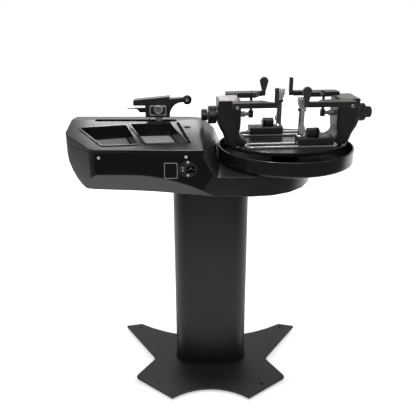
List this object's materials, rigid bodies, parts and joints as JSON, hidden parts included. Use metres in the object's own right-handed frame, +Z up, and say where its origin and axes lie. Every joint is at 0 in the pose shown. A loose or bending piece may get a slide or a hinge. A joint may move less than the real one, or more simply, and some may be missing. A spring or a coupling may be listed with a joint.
{
  "type": "racket stringing machine",
  "caption": "Floor-standing racket stringing machine: splayed base, oval column, electric tension head on a slotted housing, turntable with towers, frame arms and string clamps.",
  "frame": {"origin": "on the floor under the middle of the machine's box, at the undersides of the feet", "axes": "+Z up; +X along the machine from the tension head towards the turntable; +Y from the side with the power inlet towards the operator"},
  "size_m": [0.9544, 0.458, 1.026],
  "materials": {
    "powder_coat": "fine-textured black powder coat",
    "column_paint": "satin black painted aluminium extrusion",
    "black_casting": "satin black painted aluminium casting",
    "shell_plastic": "polished black moulding",
    "matte_plastic": "fine matte black",
    "foot_rubber": "matte",
    "finger_rubber": "matte, slightly ribbed",
    "steel": "ground",
    "bright_steel": "polished",
    "bare_aluminium": "satin",
    "sheet_box": "folded sheet",
    "board_green": "solder mask",
    "window_glass": "dark tinted window"
  },
  "bodies": {
    "stand": {"base_plate": "powder_coat", "foot_near_left": "foot_rubber", "foot_near_right": "foot_rubber", "foot_far_left": "foot_rubber", "foot_far_right": "foot_rubber", "column": "column_paint", "chassis": "bare_aluminium", "lower_shell": "shell_plastic", "top_cover": "shell_plastic", "back_panel": "shell_plastic", "tray_insert_left": "shell_plastic", "tray_insert_right": "shell_plastic", "inlet_housing": "matte_plastic", "control_panel": "matte_plastic", "display_window": "window_glass", "guide_rod_near": "steel", "guide_rod_far": "steel", "drive_belt": "finger_rubber", "drive_motor": "steel", "power_supply": "sheet_box", "circuit_board": "board_green", "turntable_bowl": "shell_plastic", "spindle_bearing": "steel"},
    "tensioner": {"tension_carriage": "steel", "tension_head": "black_casting"},
    "roller": {"nose_roller": "steel"},
    "force_dial": {"force_knob": "bare_aluminium"},
    "gripper_lever": {"release_lever": "black_casting"},
    "drive_wheel": {"drive_pulley": "bare_aluminium"},
    "idler_wheel": {"idler_pulley": "bare_aluminium"},
    "rocker": {"rocker_switch": "matte_plastic"},
    "down_key": {"key_down": "finger_rubber"},
    "up_key": {"key_up": "finger_rubber"},
    "table": {"table_plate": "black_casting", "glide_rail_near": "bright_steel", "glide_rail_far": "bright_steel", "tower_left": "black_casting", "tower_right": "black_casting", "tower_cap_left": "bare_aluminium", "tower_cap_right": "bare_aluminium"},
    "left_arm_knob": {"arm_knob_left": "matte_plastic"},
    "right_arm_knob": {"arm_knob_right": "matte_plastic"},
    "near_left_arm": {"arm_near_left": "black_casting", "finger_near_left": "finger_rubber"},
    "far_left_arm": {"arm_far_left": "black_casting", "finger_far_left": "finger_rubber"},
    "near_right_arm": {"arm_near_right": "black_casting", "finger_near_right": "finger_rubber"},
    "far_right_arm": {"arm_far_right": "black_casting", "finger_far_right": "finger_rubber"},
    "left_support_knob": {"support_knob_left": "matte_plastic"},
    "right_support_knob": {"support_knob_right": "matte_plastic"},
    "left_support": {"throat_support": "black_casting"},
    "right_support": {"head_support": "black_casting"},
    "rear_clamp_base": {"clamp_base_rear": "black_casting"},
    "rear_clamp_post": {"clamp_post_rear": "bright_steel"},
    "rear_clamp_lever": {"clamp_lever_rear": "bright_steel"},
    "front_clamp_base": {"clamp_base_front": "black_casting"},
    "front_clamp_post": {"clamp_post_front": "bright_steel"},
    "front_clamp_lever": {"clamp_lever_front": "bright_steel"}
  },
  "joints": [
    {"name": "tension_slide", "type": "slide", "parent": "stand", "child": "tensioner", "axis": [1, 0, 0], "range_m": [-0.16, 0.04]},
    {"name": "roller_spin", "type": "hinge", "parent": "tensioner", "child": "roller", "pos_m": [-0.10819, 0.012, 0.9695], "axis": [0, 1, 0], "continuous": true},
    {"name": "force_turn", "type": "hinge", "parent": "tensioner", "child": "force_dial", "pos_m": [-0.19719, 0.012, 0.9435], "axis": [0, -1, 0], "range_deg": [-150, 150]},
    {"name": "lever_lift", "type": "hinge", "parent": "tensioner", "child": "gripper_lever", "pos_m": [-0.23819, 0.012, 0.9375], "axis": [0, 1, 0], "range_deg": [0, 9], "stiffness_Nm_per_rad": 0.05, "springref_deg": -5.73},
    {"name": "drive_pulley_spin", "type": "hinge", "parent": "stand", "child": "drive_wheel", "pos_m": [-0.11419, 0.012, 0.79], "axis": [0, 1, 0], "range_deg": [-640, 162]},
    {"name": "idler_pulley_spin", "type": "hinge", "parent": "stand", "child": "idler_wheel", "pos_m": [-0.37819, 0.012, 0.79], "axis": [0, 1, 0], "range_deg": [-640, 162]},
    {"name": "power_rock", "type": "hinge", "parent": "stand", "child": "rocker", "pos_m": [-0.11619, -0.1873, 0.805], "axis": [1, 0, 0], "range_deg": [-14, 0]},
    {"name": "key_down_press", "type": "slide", "parent": "stand", "child": "down_key", "axis": [0, -0.2902, -0.957], "range_m": [0, 0.001], "stiffness_N_per_m": 300, "springref_m": -0.001},
    {"name": "key_up_press", "type": "slide", "parent": "stand", "child": "up_key", "axis": [0, -0.2902, -0.957], "range_m": [0, 0.001], "stiffness_N_per_m": 300, "springref_m": -0.001},
    {"name": "table_spin", "type": "hinge", "parent": "stand", "child": "table", "pos_m": [0.20581, 0.012, 0.84], "axis": [0, 0, 1], "continuous": true},
    {"name": "left_arm_screw", "type": "hinge", "parent": "table", "child": "left_arm_knob", "pos_m": [-0.04324, -0.00979, 0.927], "axis": [-0.9962, -0.0872, 0], "range_deg": [-180, 540]},
    {"name": "right_arm_screw", "type": "hinge", "parent": "table", "child": "right_arm_knob", "pos_m": [0.45486, 0.03379, 0.927], "axis": [0.9962, 0.0872, 0], "range_deg": [-180, 540]},
    {"name": "near_left_arm_slide", "type": "slide", "parent": "table", "child": "near_left_arm", "axis": [0.0872, -0.9962, 0], "range_m": [-0.0051, 0.0151]},
    {"name": "far_left_arm_slide", "type": "slide", "parent": "table", "child": "far_left_arm", "axis": [-0.0872, 0.9962, 0], "range_m": [-0.0051, 0.0151]},
    {"name": "near_right_arm_slide", "type": "slide", "parent": "table", "child": "near_right_arm", "axis": [0.0872, -0.9962, 0], "range_m": [-0.0051, 0.0151]},
    {"name": "far_right_arm_slide", "type": "slide", "parent": "table", "child": "far_right_arm", "axis": [-0.0872, 0.9962, 0], "range_m": [-0.0051, 0.0151]},
    {"name": "left_support_screw", "type": "hinge", "parent": "table", "child": "left_support_knob", "pos_m": [-0.05519, -0.01083, 0.927], "axis": [-0.9962, -0.0872, 0], "range_deg": [-720, 720]},
    {"name": "right_support_screw", "type": "hinge", "parent": "table", "child": "right_support_knob", "pos_m": [0.46681, 0.03483, 0.927], "axis": [0.9962, 0.0872, 0], "range_deg": [-720, 720]},
    {"name": "left_support_slide", "type": "slide", "parent": "table", "child": "left_support", "axis": [-0.9962, -0.0872, 0], "range_m": [-0.0101, 0.0101]},
    {"name": "right_support_slide", "type": "slide", "parent": "table", "child": "right_support", "axis": [0.9962, 0.0872, 0], "range_m": [-0.0101, 0.0101]},
    {"name": "rear_clamp_slide", "type": "slide", "parent": "table", "child": "rear_clamp_base", "axis": [0.9962, 0.0872, 0], "range_m": [-0.03, 0.045]},
    {"name": "rear_clamp_swivel", "type": "hinge", "parent": "rear_clamp_base", "child": "rear_clamp_post", "pos_m": [0.19113, 0.08801, 0.871], "axis": [0, 0, 1], "continuous": true},
    {"name": "rear_clamp_lever_lift", "type": "hinge", "parent": "rear_clamp_post", "child": "rear_clamp_lever", "pos_m": [0.19113, 0.08801, 0.952], "axis": [0.0872, -0.9962, 0], "range_deg": [0, 60]},
    {"name": "front_clamp_slide", "type": "slide", "parent": "table", "child": "front_clamp_base", "axis": [0.9962, 0.0872, 0], "range_m": [-0.06, 0.005]},
    {"name": "front_clamp_swivel", "type": "hinge", "parent": "front_clamp_base", "child": "front_clamp_post", "pos_m": [0.24041, -0.06227, 0.871], "axis": [0, 0, 1], "continuous": true},
    {"name": "front_clamp_lever_lift", "type": "hinge", "parent": "front_clamp_post", "child": "front_clamp_lever", "pos_m": [0.24041, -0.06227, 0.952], "axis": [-0.0872, 0.9962, 0], "range_deg": [0, 60]}
  ],
  "couplings": [
    {"joint": "drive_pulley_spin", "follows": "tension_slide", "rad_per_m": 69.44},
    {"joint": "idler_pulley_spin", "follows": "tension_slide", "rad_per_m": 69.44},
    {"joint": "near_left_arm_slide", "follows": "left_arm_screw", "m_per_rad": 0.0015915},
    {"joint": "far_left_arm_slide", "follows": "left_arm_screw", "m_per_rad": 0.0015915},
    {"joint": "near_right_arm_slide", "follows": "right_arm_screw", "m_per_rad": 0.0015915},
    {"joint": "far_right_arm_slide", "follows": "right_arm_screw", "m_per_rad": 0.0015915},
    {"joint": "left_support_slide", "follows": "left_support_screw", "m_per_rad": 0.00079577},
    {"joint": "right_support_slide", "follows": "right_support_screw", "m_per_rad": 0.00079577}
  ]
}
